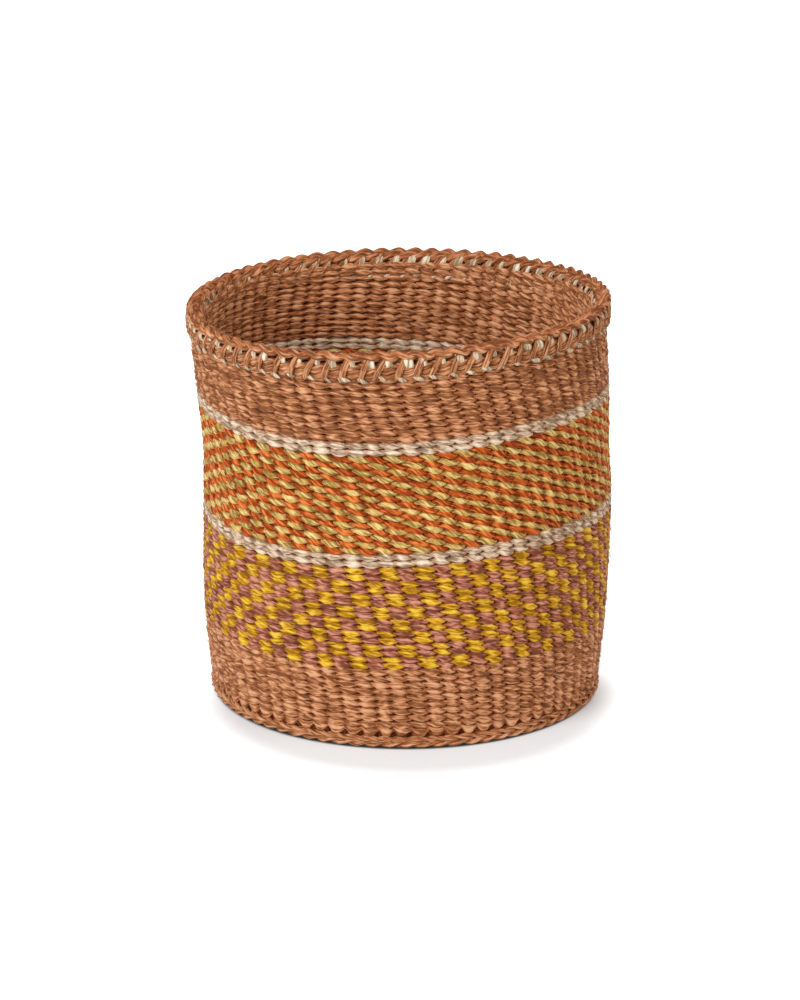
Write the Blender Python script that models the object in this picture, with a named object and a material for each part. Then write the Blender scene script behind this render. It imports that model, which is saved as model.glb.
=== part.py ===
"""A small kiondo, the round storage basket of hand-spun sisal that is twined over upright stakes.

The wall is twined in six bands of weft between a twisted foot cord and a lashed rim. The stakes run
hidden inside the weft, lean as they climb, and come out at the top, where they are folded over,
lashed and finished with a second twisted cord. +Z is up, +X is the side where the rim stands higher,
and the origin is on the ground under the centre of the rim. Lengths are metres.
"""

import math

import bmesh
import bpy
from mathutils import Vector

# Counts
STAKES = 74
LOWER_TAN_ROWS = 10
MUSTARD_ROSE_ROWS = 16
LOWER_CREAM_ROWS = 2
ORANGE_STRAW_ROWS = 15
UPPER_CREAM_ROWS = 2
UPPER_TAN_ROWS = 9
BASE_RIDGES = 6
BASE_SIDES = 37
SECTIONS_PER_STAKE = 2
BAND_CORNERS = 4
STRAND_SIDES = 4
SECTIONS_PER_TWIST = 6
BINDING_SIDES = 3
TIE_SIDES = 12
TIE_RINGS = 6

# Main sizes
WALL_HEIGHT = 0.1574
BELLY_RADIUS = 0.0901

# Weave
WALL_THICKNESS = 0.0064
RIB_DEPTH = 0.0007
UPPER_ROW_SHARE = 0.94
STAKE_LEAN_SHARE = 0.235
STAKE_CROWDING_SHARE = 0.055
STAKE_CROWDING_ANGLE = 0.32
FIRST_STAKE_ANGLE = 0.031

# Outline: how much less or more than the belly's the wall's outer radius is elsewhere
FOOT_TAPER = 0.0043
LOWER_SEAM_TAPER = 0.0009
WAIST_TAPER = 0.0008
UPPER_SEAM_FLARE = 0.0002
NECK_FLARE = 0.0006

# How far the wall's axis stands off the rim's towards +X
FOOT_SHIFT = 0.0028
BELLY_SHIFT = 0.0039
WAIST_SHIFT = 0.0032
UPPER_SEAM_SHIFT = 0.0020
WAIST_HEIGHT_SHARE = 0.55

# How far the rows wander off level at each height, as the hand laid them
LOWER_SEAM_TILT = -0.0017
LOWER_SEAM_TWIST = -0.0016
BELLY_TILT = 0.0008
BELLY_TWIST = -0.0021
UPPER_SEAM_DROP = -0.0011
UPPER_SEAM_SADDLE = 0.0015
UPPER_SEAM_TWIST = -0.0027
RIM_TILT = 0.0027
RIM_TWIST = -0.0007

# Foot
FOOT_CORD_RADIUS = 0.00265
FOOT_CORD_INSET = 0.0016
FOOT_LIFT = 0.0003

# Rim
RIM_CORD_RADIUS = 0.0021
RIM_CORD_INSET = 0.0008
BINDING_RADIUS = 0.0010
ROLL_OVERHANG = 0.0002
ROLL_THICKNESS = 0.0048
ROLL_HEIGHT = 0.0042
STAKE_END_BULGE = 0.0012

# Base
BASE_RIDGE_DEPTH = 0.0008
TIE_RADIUS = 0.0070
TIE_HEIGHT = 0.0016
TIE_RECESS = 0.0012

# Fits
CLEARANCE = 0.0003
MERGE = 0.000001

# Heights that follow from the rows, each at its mean round the basket
LOWER_ROWS = LOWER_TAN_ROWS + MUSTARD_ROSE_ROWS + LOWER_CREAM_ROWS
UPPER_ROWS = ORANGE_STRAW_ROWS + UPPER_CREAM_ROWS + UPPER_TAN_ROWS
ROW_PITCH = WALL_HEIGHT / (LOWER_ROWS + UPPER_ROW_SHARE * UPPER_ROWS)
UPPER_ROW_PITCH = UPPER_ROW_SHARE * ROW_PITCH
WALL_SECTIONS = SECTIONS_PER_STAKE * STAKES
WALL_START = FOOT_LIFT + 2 * FOOT_CORD_RADIUS + CLEARANCE
LOWER_TAN_TOP = WALL_START + LOWER_TAN_ROWS * ROW_PITCH
MUSTARD_ROSE_TOP = LOWER_TAN_TOP + MUSTARD_ROSE_ROWS * ROW_PITCH
LOWER_CREAM_TOP = MUSTARD_ROSE_TOP + LOWER_CREAM_ROWS * ROW_PITCH
ORANGE_STRAW_TOP = LOWER_CREAM_TOP + ORANGE_STRAW_ROWS * UPPER_ROW_PITCH
UPPER_CREAM_TOP = ORANGE_STRAW_TOP + UPPER_CREAM_ROWS * UPPER_ROW_PITCH
WALL_TOP = UPPER_CREAM_TOP + UPPER_TAN_ROWS * UPPER_ROW_PITCH
BELLY_LEVEL = (MUSTARD_ROSE_TOP + LOWER_CREAM_TOP) / 2
UPPER_SEAM_LEVEL = (ORANGE_STRAW_TOP + UPPER_CREAM_TOP) / 2
WAIST_LEVEL = BELLY_LEVEL + WAIST_HEIGHT_SHARE * (UPPER_SEAM_LEVEL - BELLY_LEVEL)

# Outer radii that follow from the belly's
FOOT_RADIUS = BELLY_RADIUS - FOOT_TAPER
LOWER_SEAM_RADIUS = BELLY_RADIUS - LOWER_SEAM_TAPER
WAIST_RADIUS = BELLY_RADIUS - WAIST_TAPER
UPPER_SEAM_RADIUS = BELLY_RADIUS + UPPER_SEAM_FLARE
NECK_RADIUS = BELLY_RADIUS + NECK_FLARE
FOOT_RING_RADIUS = FOOT_RADIUS - FOOT_CORD_INSET
ROLL_OUTER_RADIUS = NECK_RADIUS + ROLL_OVERHANG
RIM_RING_RADIUS = ROLL_OUTER_RADIUS - RIM_CORD_INSET

# The rim from the wall up: a turn of binding, the roll of stake ends, a turn of binding, the cord
BINDING_FLAT = BINDING_RADIUS * math.cos(math.pi / BINDING_SIDES)
ROLL_INNER_RADIUS = ROLL_OUTER_RADIUS - ROLL_THICKNESS
STAKE_HALF_PITCH = math.pi * ROLL_INNER_RADIUS / STAKES
BINDING_OFFSET = BINDING_FLAT + CLEARANCE + STAKE_END_BULGE * BINDING_RADIUS / STAKE_HALF_PITCH
ROLL_BOTTOM = WALL_TOP + CLEARANCE + BINDING_RADIUS + BINDING_OFFSET
ROLL_TOP = ROLL_BOTTOM + ROLL_HEIGHT
RIM_CORD_LEVEL = ROLL_TOP + BINDING_OFFSET + BINDING_RADIUS + CLEARANCE + RIM_CORD_RADIUS
RIM_TOP = RIM_CORD_LEVEL + RIM_CORD_RADIUS

# (level, outer radius, shift of the axis)
OUTLINE = (
    (0.0, FOOT_RADIUS, FOOT_SHIFT),
    (LOWER_TAN_TOP, LOWER_SEAM_RADIUS, FOOT_SHIFT),
    (BELLY_LEVEL, BELLY_RADIUS, BELLY_SHIFT),
    (WAIST_LEVEL, WAIST_RADIUS, WAIST_SHIFT),
    (UPPER_SEAM_LEVEL, UPPER_SEAM_RADIUS, UPPER_SEAM_SHIFT),
    (WALL_TOP, NECK_RADIUS, 0.0),
    (RIM_TOP, NECK_RADIUS, 0.0),
)
# (level, tilt up to +X, tilt up to +Y, rise of both X sides, rise of two opposite quarters)
WANDER = (
    (0.0, 0.0, 0.0, 0.0, 0.0),
    (LOWER_TAN_TOP, LOWER_SEAM_TILT, 0.0, 0.0, LOWER_SEAM_TWIST),
    (BELLY_LEVEL, BELLY_TILT, 0.0, 0.0, BELLY_TWIST),
    (UPPER_SEAM_LEVEL, 0.0, UPPER_SEAM_DROP, UPPER_SEAM_SADDLE, UPPER_SEAM_TWIST),
    (RIM_TOP, RIM_TILT, 0.0, 0.0, RIM_TWIST),
)

# name: colour, roughness
FINISHES = {
    "tan_sisal": ((0.46, 0.20, 0.09, 1.0), 0.7),
    "cream_sisal": ((0.72, 0.52, 0.36, 1.0), 0.7),
    "orange_straw_sisal": ((0.68, 0.30, 0.07, 1.0), 0.7),
    "mustard_rose_sisal": ((0.58, 0.30, 0.10, 1.0), 0.7),
}


def between(table, level):
    """The values of a table of stations at a level, on a smooth curve through the stations."""
    last = len(table) - 1
    index = max(i for i in range(last) if i == 0 or table[i][0] <= level)
    before, start, end, after = (table[min(max(index + step, 0), last)] for step in (-1, 0, 1, 2))
    span = end[0] - start[0]
    share = (level - start[0]) / span
    values = []
    for low, a, b, high in zip(before[1:], start[1:], end[1:], after[1:]):
        slope_a = (b - low) / (end[0] - before[0]) * span
        slope_b = (high - a) / (after[0] - start[0]) * span
        values.append(
            a * (1 + 2 * share) * (1 - share) ** 2
            + slope_a * share * (1 - share) ** 2
            + b * share**2 * (3 - 2 * share)
            + slope_b * share**2 * (share - 1)
        )
    return values


def on_ring(radius, angle, level):
    """A point of the basket, by its distance from the axis, its angle and the level of its row."""
    shift = between(OUTLINE, level)[1]
    tilt_x, tilt_y, saddle, twist = between(WANDER, level)
    rise = tilt_x * math.cos(angle) + tilt_y * math.sin(angle)
    rise += saddle * math.cos(2 * angle) + twist * math.sin(2 * angle)
    return Vector((shift + radius * math.cos(angle), radius * math.sin(angle), level + rise))


def stake_angle(count, level):
    """Where a stake stands at this level. The stakes lean as they climb and crowd towards one side."""
    angle = FIRST_STAKE_ANGLE + 2 * math.pi * count / STAKES
    angle -= STAKE_LEAN_SHARE * level / BELLY_RADIUS
    return angle - STAKE_CROWDING_SHARE * math.sin(angle + STAKE_CROWDING_ANGLE)


def finish(name):
    """The material of this name, made when it is first asked for."""
    material = bpy.data.materials.get(name)
    if material is None:
        colour, roughness = FINISHES[name]
        material = bpy.data.materials.new(name)
        material.use_nodes = True
        shader = material.node_tree.nodes["Principled BSDF"]
        shader.inputs["Base Color"].default_value = colour
        shader.inputs["Roughness"].default_value = roughness
        shader.inputs["Metallic"].default_value = 0.0
        material.diffuse_color = colour
    return material


def add_object(name, shape, material):
    """Turns a bmesh into an object of the scene, with its faces out."""
    bmesh.ops.recalc_face_normals(shape, faces=shape.faces)
    mesh = bpy.data.meshes.new(name)
    shape.to_mesh(mesh)
    shape.free()
    mesh.materials.append(finish(material))
    obj = bpy.data.objects.new(name, mesh)
    bpy.context.scene.collection.objects.link(obj)
    return obj


def sweep_ring(name, sections, corners, place, material):
    """A closed ring. place(section, corner) is each corner of each of its cross-sections."""
    shape = bmesh.new()
    grid = bmesh.ops.create_grid(shape, x_segments=sections, y_segments=corners, size=MERGE)
    for index, vert in enumerate(grid["verts"]):
        corner, section = divmod(index, sections + 1)
        vert.co = place(section % sections, corner % corners)
    bmesh.ops.remove_doubles(shape, verts=shape.verts, dist=MERGE)
    return add_object(name, shape, material)


def weft_band(name, bottom, top, material):
    """The rows of weft between two seams, one crest over each leaning stake, outside and inside."""

    def place(section, corner):
        outside = corner in (0, 1)
        level = top - CLEARANCE / 2 if corner in (1, 2) else bottom + CLEARANCE / 2
        depth = 0.0 if section % SECTIONS_PER_STAKE == 0 else RIB_DEPTH
        outer = between(OUTLINE, level)[0]
        radius = outer - depth if outside else outer - WALL_THICKNESS + depth
        angle = stake_angle(section / SECTIONS_PER_STAKE, level)
        return on_ring(radius, angle, level)

    return sweep_ring(name, WALL_SECTIONS, BAND_CORNERS, place, material)


def cord_strand(name, ring_radius, cord_radius, level, phase, material):
    """One of the two strands of a twisted cord, which goes once round the other at every second stake."""
    # Between two sections a strand runs straight, and so nearer to the cord's middle
    nearest_share = math.cos(math.pi / SECTIONS_PER_TWIST)
    strand_radius = (cord_radius * nearest_share - CLEARANCE / 2) / (1 + nearest_share)
    offset = cord_radius - strand_radius
    sections = STAKES // 2 * SECTIONS_PER_TWIST

    def place(section, corner):
        twist = 2 * math.pi * section / SECTIONS_PER_TWIST + phase
        turn = 2 * math.pi * corner / STRAND_SIDES
        out = offset * math.cos(twist) + strand_radius * math.cos(turn)
        up = offset * math.sin(twist) + strand_radius * math.sin(turn)
        point = on_ring(ring_radius + out, 2 * math.pi * section / sections, level)
        point.z += up
        return point

    return sweep_ring(name, sections, STRAND_SIDES, place, material)


def rim_stake_ends():
    """The roll of folded stake ends along the rim, one lump for each stake."""

    def place(section, corner):
        level = ROLL_TOP if corner in (1, 2) else ROLL_BOTTOM
        bulge = STAKE_END_BULGE if section % SECTIONS_PER_STAKE == 0 else 0.0
        radius = ROLL_OUTER_RADIUS + bulge if corner in (0, 1) else ROLL_INNER_RADIUS - bulge
        angle = stake_angle(section / SECTIONS_PER_STAKE, WALL_TOP)
        return on_ring(radius, angle, level)

    return sweep_ring("rim_stake_ends", WALL_SECTIONS, BAND_CORNERS, place, "cream_sisal")


def rim_binding():
    """The lashing: one turn round the roll in the dip between each stake end and the next."""
    # Outer top, outer bottom, inner bottom, inner top: which way each lies from the roll's middle
    ways = ((1, 1), (1, -1), (-1, -1), (-1, 1))

    def place(section, corner):
        stake, quarter = divmod(section, len(ways))
        out, up = ways[quarter]
        face = ROLL_OUTER_RADIUS if out > 0 else ROLL_INNER_RADIUS
        level = ROLL_TOP if up > 0 else ROLL_BOTTOM
        angle = stake_angle(stake + 1 / 2, WALL_TOP)
        turn = 2 * math.pi * corner / BINDING_SIDES
        # At a bend the section lies along the diagonal, so its radial and upward shares are whole radii
        away = BINDING_RADIUS * math.cos(turn)
        point = on_ring(face + out * (BINDING_OFFSET + away), angle, level)
        along = Vector((-math.sin(angle), math.cos(angle), 0.0))
        point += along * BINDING_RADIUS * math.sin(turn)
        point.z += up * (BINDING_OFFSET + away)
        return point

    return sweep_ring("rim_binding", len(ways) * STAKES, BINDING_SIDES, place, "tan_sisal")


def base_weft():
    """The round base: flat underneath, with the ridges of its rows on top and a dip for the tie."""
    top = WALL_START - CLEARANCE
    edge = FOOT_RING_RADIUS - FOOT_CORD_RADIUS - CLEARANCE
    hollow = TIE_RADIUS + CLEARANCE
    ridge = (edge - hollow) / BASE_RIDGES
    rings = [(edge, 0.0), (edge, top - BASE_RIDGE_DEPTH)]
    for row in range(BASE_RIDGES):
        rings.append((edge - (row + 1 / 2) * ridge, top))
        rings.append((edge - (row + 1) * ridge, top - BASE_RIDGE_DEPTH))
    rings.append((hollow, top - BASE_RIDGE_DEPTH - TIE_RECESS))

    shape = bmesh.new()
    grid = bmesh.ops.create_grid(
        shape, x_segments=BASE_SIDES, y_segments=len(rings) - 1, size=MERGE
    )
    for index, vert in enumerate(grid["verts"]):
        ring, side = divmod(index, BASE_SIDES + 1)
        radius, height = rings[ring]
        angle = 2 * math.pi * (side % BASE_SIDES) / BASE_SIDES
        vert.co = (FOOT_SHIFT + radius * math.cos(angle), radius * math.sin(angle), height)
    bmesh.ops.remove_doubles(shape, verts=shape.verts, dist=MERGE)
    bmesh.ops.holes_fill(shape, edges=[line for line in shape.edges if line.is_boundary])
    return add_object("base_weft", shape, "tan_sisal")


def base_centre_tie():
    """The low knot where the first stakes cross in the middle of the base, seated in its dip."""
    seat = WALL_START - CLEARANCE - BASE_RIDGE_DEPTH - TIE_RECESS
    shape = bmesh.new()
    bmesh.ops.create_uvsphere(
        shape, u_segments=TIE_SIDES, v_segments=TIE_RINGS, radius=TIE_RADIUS
    )
    bmesh.ops.scale(shape, verts=shape.verts, vec=(1.0, 1.0, TIE_HEIGHT / TIE_RADIUS))
    middle = Vector((FOOT_SHIFT, 0.0, seat + CLEARANCE + TIE_HEIGHT))
    bmesh.ops.translate(shape, verts=shape.verts, vec=middle)
    return add_object("base_centre_tie", shape, "tan_sisal")


def clear_scene():
    for obj in list(bpy.data.objects):
        bpy.data.objects.remove(obj)


def main():
    clear_scene()
    base_weft()
    base_centre_tie()
    foot_level = FOOT_LIFT + FOOT_CORD_RADIUS
    for strand, phase in (("a", math.pi / 2), ("b", -math.pi / 2)):
        cord_strand(
            "foot_cord_" + strand, FOOT_RING_RADIUS, FOOT_CORD_RADIUS, foot_level, phase, "tan_sisal"
        )
        cord_strand(
            "rim_cord_" + strand, RIM_RING_RADIUS, RIM_CORD_RADIUS, RIM_CORD_LEVEL, phase, "tan_sisal"
        )
    weft_band("lower_tan_weft", WALL_START, LOWER_TAN_TOP, "tan_sisal")
    weft_band("mustard_rose_weft", LOWER_TAN_TOP, MUSTARD_ROSE_TOP, "mustard_rose_sisal")
    weft_band("lower_cream_weft", MUSTARD_ROSE_TOP, LOWER_CREAM_TOP, "cream_sisal")
    weft_band("orange_straw_weft", LOWER_CREAM_TOP, ORANGE_STRAW_TOP, "orange_straw_sisal")
    weft_band("upper_cream_weft", ORANGE_STRAW_TOP, UPPER_CREAM_TOP, "cream_sisal")
    weft_band("upper_tan_weft", UPPER_CREAM_TOP, WALL_TOP, "tan_sisal")
    rim_stake_ends()
    rim_binding()


main()
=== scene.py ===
"""The looks of a small kiondo, a round basket of hand-spun sisal twined over upright stakes.

Laid out as a Blender add-on: the panel's sizes and colours feed one operator for each piece or group
of like pieces. Every strand is its own closed tube that passes in front of one stake and behind the
next. Lengths are metres, +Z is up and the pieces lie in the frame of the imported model.
"""

import math

import bmesh
import bpy
import numpy as np
from bpy.props import FloatProperty, FloatVectorProperty, IntProperty, PointerProperty
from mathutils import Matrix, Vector


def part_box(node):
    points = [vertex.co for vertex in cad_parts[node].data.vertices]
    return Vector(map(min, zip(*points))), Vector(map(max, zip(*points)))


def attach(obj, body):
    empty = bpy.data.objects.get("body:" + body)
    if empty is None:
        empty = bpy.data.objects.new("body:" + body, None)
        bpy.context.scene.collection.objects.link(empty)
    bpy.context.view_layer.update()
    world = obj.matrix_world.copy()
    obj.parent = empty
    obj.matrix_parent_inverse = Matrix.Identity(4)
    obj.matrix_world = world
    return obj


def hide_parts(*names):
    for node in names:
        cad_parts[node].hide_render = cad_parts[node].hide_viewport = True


bl_info = {
    "name": "Kiondo basket",
    "version": (1, 0, 0),
    "blender": (4, 5, 0),
    "location": "3D View > Sidebar > Kiondo",
    "description": "A twined sisal basket with coloured bands, a plaited foot and a lashed rim",
    "category": "Object",
}

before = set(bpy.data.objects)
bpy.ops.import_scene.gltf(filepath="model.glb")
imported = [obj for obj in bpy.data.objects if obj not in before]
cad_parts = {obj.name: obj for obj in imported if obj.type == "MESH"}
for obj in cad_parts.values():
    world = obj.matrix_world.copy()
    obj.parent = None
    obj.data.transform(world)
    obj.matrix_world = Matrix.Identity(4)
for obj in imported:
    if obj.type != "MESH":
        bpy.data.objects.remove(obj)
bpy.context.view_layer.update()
BASE_LOW, BASE_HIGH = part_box("base_weft")
FOOT_MIDDLE = (BASE_LOW[0] + BASE_HIGH[0]) / 2
BASE_EDGE = (BASE_HIGH[0] - BASE_LOW[0]) / 2
BASE_TOP = BASE_HIGH[2]

MM = 0.001
SEED = 7

# Rows of each band, from the foot up
LOWER_TAN_ROWS = 10
MUSTARD_ROSE_ROWS = 16
LOWER_CREAM_ROWS = 2
ORANGE_STRAW_ROWS = 15
UPPER_CREAM_ROWS = 2
UPPER_TAN_ROWS = 9
LOWER_ROWS = LOWER_TAN_ROWS + MUSTARD_ROSE_ROWS + LOWER_CREAM_ROWS
ALL_ROWS = LOWER_ROWS + ORANGE_STRAW_ROWS + UPPER_CREAM_ROWS + UPPER_TAN_ROWS
ROWS_UNDER_RIM = 3

# How far apart the rows of the upper bands lie, against those of the lower bands
UPPER_ROW_SHARE = 0.94

# Outline: how much less or more than the belly's the wall's outer radius is elsewhere
FOOT_TAPER = 4.3 * MM
LOWER_SEAM_TAPER = 0.9 * MM
WAIST_TAPER = 0.8 * MM
UPPER_SEAM_FLARE = 0.2 * MM
NECK_FLARE = 0.6 * MM

# How far the wall's axis stands off the rim's towards +X
BELLY_SHIFT = 3.9 * MM
WAIST_SHIFT = 3.2 * MM
UPPER_SEAM_SHIFT = 2.0 * MM
WAIST_HEIGHT_SHARE = 0.55

# How far the rows wander off level at each height, as the hand laid them: up to +X, up to the back,
# up on both X sides and up on two opposite quarters
LOWER_SEAM_TILT = -1.7 * MM
LOWER_SEAM_BACK_TILT = -0.7 * MM
LOWER_SEAM_TWIST = -1.6 * MM
BELLY_TILT = 0.8 * MM
BELLY_BACK_TILT = 1.5 * MM
BELLY_TWIST = -2.1 * MM
UPPER_SEAM_BACK_TILT = -1.1 * MM
UPPER_SEAM_SADDLE = 1.8 * MM
UPPER_SEAM_TWIST = -2.7 * MM
RIM_TILT = 2.7 * MM
RIM_TWIST = -0.7 * MM

# How far back round the stakes lean for each unit they climb, how much closer they stand on one
# side, and where the first one leaves the base
STAKE_LEAN_SHARE = 0.235
STAKE_CROWDING_SHARE = 0.055
STAKE_CROWDING_ANGLE = 0.32
FIRST_STAKE_ANGLE = 0.031

# How far round the stakes stand steeper below the lower pattern
STAKE_FOOT_BEND = 5.0 * MM

# How far one stake strays round the basket from its even place, in three waves: how many go round,
# how they turn with the height, and where they start
STAKE_SWAY = 0.22 * MM
STAKE_WAVES = ((13, 55, 0.0), (21, -40, 1.7), (31, 85, 4.0))

# Levels that follow from the foot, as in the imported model
WALL_START = 5.9 * MM
RIM_TOP = 176.5 * MM


def length_property(name, description, default):
    return FloatProperty(name=name, description=description, default=default, unit="LENGTH")


def dye_property(name, description, default):
    return FloatVectorProperty(
        name=name, description=description, default=default, subtype="COLOR"
    )


class KiondoSizes(bpy.types.PropertyGroup):
    stakes: IntProperty(
        name="Stakes", description="Upright stakes round the wall", default=74, min=8
    )
    wall_height: length_property(
        "Wall height", "Height of the twined wall between foot plait and rim", 0.1574
    )
    belly_radius: length_property("Belly radius", "Outer radius of the wall at its belly", 0.0901)
    wall_thickness: length_property(
        "Wall thickness", "Thickness over both strands of a row where they pass a stake", 0.0064
    )
    stitch_depth: length_property(
        "Strand thickness over a stake",
        "How thick a strand is, inwards, where it is pulled flat over a stake",
        0.0019,
    )
    stitch_slant: length_property(
        "Stitch slant",
        "How far a strand stands above its row before a stake, and below it after",
        0.00076,
    )
    rim_width: length_property("Rim plait width", "Width of the plait along the rim", 0.0070)


class KiondoColours(bpy.types.PropertyGroup):
    tan: dye_property("Tan", "Dye of the plain bands", (0.50, 0.192, 0.076))
    cream: dye_property("Cream", "The pale seams", (0.66, 0.46, 0.31))
    natural: dye_property("Natural", "Undyed stakes", (0.70, 0.54, 0.36))
    orange: dye_property("Orange", "Dye of half the upper pattern", (0.56, 0.095, 0.010))
    straw: dye_property("Straw", "Dye of half the upper pattern", (0.66, 0.42, 0.115))
    mustard: dye_property("Mustard", "Dye of half the lower pattern", (0.68, 0.33, 0.012))
    rose: dye_property("Rose", "Dye of half the lower pattern", (0.42, 0.135, 0.075))


def sizes():
    return bpy.context.scene.kiondo_sizes


def row_pitch():
    """The pitch of the rows of the lower bands."""
    return sizes().wall_height / (LOWER_ROWS + UPPER_ROW_SHARE * (ALL_ROWS - LOWER_ROWS))


def level_of(rows):
    """The level at the top of this many rows, counted from the foot."""
    lower = np.minimum(rows, LOWER_ROWS)
    return WALL_START + row_pitch() * (lower + UPPER_ROW_SHARE * (rows - lower))


def belly_level():
    return level_of(LOWER_ROWS - LOWER_CREAM_ROWS / 2)


def upper_seam_level():
    return level_of(ALL_ROWS - UPPER_TAN_ROWS - UPPER_CREAM_ROWS / 2)


def outline():
    """(level, outer radius, shift of the axis)"""
    belly = sizes().belly_radius
    waist_level = belly_level() + WAIST_HEIGHT_SHARE * (upper_seam_level() - belly_level())
    return (
        (0.0, belly - FOOT_TAPER, FOOT_MIDDLE),
        (level_of(LOWER_TAN_ROWS), belly - LOWER_SEAM_TAPER, FOOT_MIDDLE),
        (belly_level(), belly, BELLY_SHIFT),
        (waist_level, belly - WAIST_TAPER, WAIST_SHIFT),
        (upper_seam_level(), belly + UPPER_SEAM_FLARE, UPPER_SEAM_SHIFT),
        (level_of(ALL_ROWS), belly + NECK_FLARE, 0.0),
        (RIM_TOP, belly + NECK_FLARE, 0.0),
    )


def wander():
    """(level, tilt up to +X, tilt up to +Y, rise of both X sides, rise of two opposite quarters)"""
    return (
        (0.0, 0.0, 0.0, 0.0, 0.0),
        (level_of(LOWER_TAN_ROWS), LOWER_SEAM_TILT, LOWER_SEAM_BACK_TILT, 0.0, LOWER_SEAM_TWIST),
        (belly_level(), BELLY_TILT, BELLY_BACK_TILT, 0.0, BELLY_TWIST),
        (upper_seam_level(), 0.0, UPPER_SEAM_BACK_TILT, UPPER_SEAM_SADDLE, UPPER_SEAM_TWIST),
        (RIM_TOP, RIM_TILT, 0.0, 0.0, RIM_TWIST),
    )


def between(stations, level):
    """The values of the stations at each level, on a smooth curve through them."""
    table = np.array(stations)
    level = np.asarray(level, dtype=float)
    last = len(table) - 1
    index = np.clip(np.searchsorted(table[:, 0], level, side="right") - 1, 0, last - 1)
    before, start, end, after = (table[np.clip(index + step, 0, last)] for step in (-1, 0, 1, 2))
    span = end[..., :1] - start[..., :1]
    share = np.clip((level[..., None] - start[..., :1]) / span, 0, 1)
    leaving = (end - before) / (end[..., :1] - before[..., :1]) * span
    arriving = (after - start) / (after[..., :1] - start[..., :1]) * span
    values = start * (1 + 2 * share) * (1 - share) ** 2 + leaving * share * (1 - share) ** 2
    values = values + end * share**2 * (3 - 2 * share) + arriving * share**2 * (share - 1)
    return values[..., 1:]


def on_ring(radius, angle, level, up=0.0):
    """Points of the basket, by distance from the axis, angle and level of the row, raised by up."""
    shift = between(outline(), level)[..., 1]
    tilt_x, tilt_y, saddle, twist = np.moveaxis(between(wander(), level), -1, 0)
    rise = tilt_x * np.cos(angle) + tilt_y * np.sin(angle)
    rise = rise + saddle * np.cos(2 * angle) + twist * np.sin(2 * angle)
    x = shift + radius * np.cos(angle)
    y = radius * np.sin(angle) + 0 * x
    return np.stack((x, y, level + rise + up + 0 * x), axis=-1)


def wall_middle(level):
    """The radius of the middle of the wall, where the stakes stand."""
    return between(outline(), level)[..., 0] - sizes().wall_thickness / 2


def stake_angle(stake, level):
    """The angle of a place round the wall, counted in stakes, which lean and sway a little."""
    angle = 2 * math.pi * np.asarray(stake) / sizes().stakes
    sway = sum(np.sin(count * angle + rise * level + start) for count, rise, start in STAKE_WAVES)
    stray = (STAKE_SWAY * sway - STAKE_LEAN_SHARE * level) / sizes().belly_radius
    bend = np.clip(1 - np.asarray(level) / level_of(LOWER_TAN_ROWS), 0, 1) ** 2
    angle = FIRST_STAKE_ANGLE + angle + stray - STAKE_FOOT_BEND * bend / sizes().belly_radius
    return angle - STAKE_CROWDING_SHARE * np.sin(angle + STAKE_CROWDING_ANGLE)


def uneven(rng, count, step=1.0):
    """A smooth random value for each of count places round a ring, about 1 in spread."""
    knots = max(int(count / step), 3)
    values = rng.normal(size=knots)
    places = np.arange(count) * knots / count
    low = np.floor(places).astype(int)
    share = (1 - np.cos(math.pi * (places - low))) / 2
    return values[low % knots] * (1 - share) + values[(low + 1) % knots] * share


def each(rng, shape, *places):
    """A random value for each copy or stitch, about 1 in spread, at the places of the vertices."""
    return rng.normal(size=shape)[places]


def tubes(name, copies, sections, sides, closed):
    """Copies of one tube as a mesh, and where each vertex is: copy, section and turn round it.

    A closed tube joins its own start. An open one has both ends capped.
    """
    shape = bmesh.new()
    shape.loops.layers.uv.new("Cord")
    section_of = shape.verts.layers.float.new("section")
    turn_of = shape.verts.layers.float.new("turn")
    grid = bmesh.ops.create_grid(
        shape, x_segments=sections, y_segments=sides, size=1.0, calc_uvs=True
    )
    for index, vert in enumerate(grid["verts"]):
        side, section = divmod(index, sections + 1)
        turn = 2 * math.pi * (side % sides) / sides
        lap = 2 * math.pi * section / sections
        vert[turn_of] = turn
        if closed:
            vert[section_of] = section % sections
            reach = 3 + math.cos(turn)
            vert.co = (reach * math.cos(lap), reach * math.sin(lap), math.sin(turn))
        else:
            vert[section_of] = section
            vert.co = (math.cos(turn), section, math.sin(turn))
    bmesh.ops.remove_doubles(shape, verts=shape.verts, dist=0.0001)
    if not closed:
        bmesh.ops.holes_fill(shape, edges=[edge for edge in shape.edges if edge.is_boundary])
    bmesh.ops.recalc_face_normals(shape, faces=shape.faces)
    unit = bpy.data.meshes.new("one tube")
    shape.to_mesh(unit)
    shape.free()

    joined = bmesh.new()
    for copy in range(copies):
        joined.from_mesh(unit)
    mesh = bpy.data.meshes.new(name)
    joined.to_mesh(mesh)
    joined.free()
    copy = np.repeat(np.arange(copies), len(unit.vertices))
    bpy.data.meshes.remove(unit)
    section = np.empty(len(mesh.vertices))
    turn = np.empty(len(mesh.vertices))
    mesh.attributes["section"].data.foreach_get("value", section)
    mesh.attributes["turn"].data.foreach_get("value", turn)
    mesh.attributes.remove(mesh.attributes["section"])
    mesh.attributes.remove(mesh.attributes["turn"])
    return mesh, copy, section, turn


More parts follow.
